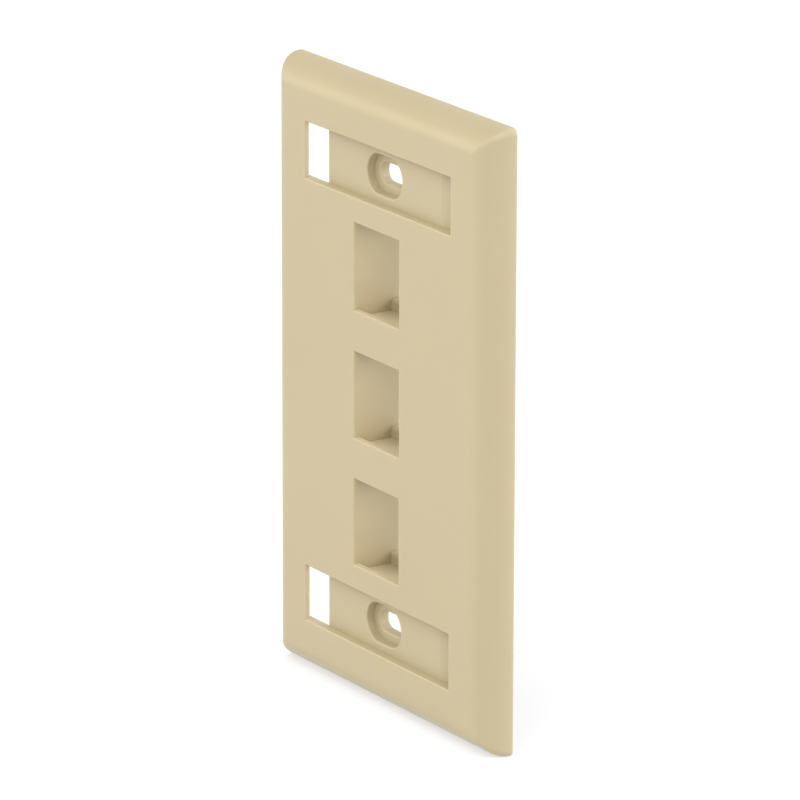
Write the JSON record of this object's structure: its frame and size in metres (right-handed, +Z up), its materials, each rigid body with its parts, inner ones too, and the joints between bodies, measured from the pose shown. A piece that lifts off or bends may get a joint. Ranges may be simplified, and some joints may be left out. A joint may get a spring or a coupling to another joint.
{
  "type": "keystone faceplate",
  "caption": "Single-gang wall plate with a column of snap-in jack ports, sunk label recesses with tab windows, and oblong screw slots in sunk seats.",
  "frame": {"origin": "in the plane of the wall, midway between the two screw slots", "axes": "+Y from the face into the wall, +Z up the long side, +X to the right as seen from the front"},
  "size_m": [0.0698, 0.0099, 0.1142],
  "materials": {
    "moulding": "satin ivory, smooth moulded"
  },
  "bodies": {
    "root": {"faceplate": "moulding"}
  },
  "joints": []
}
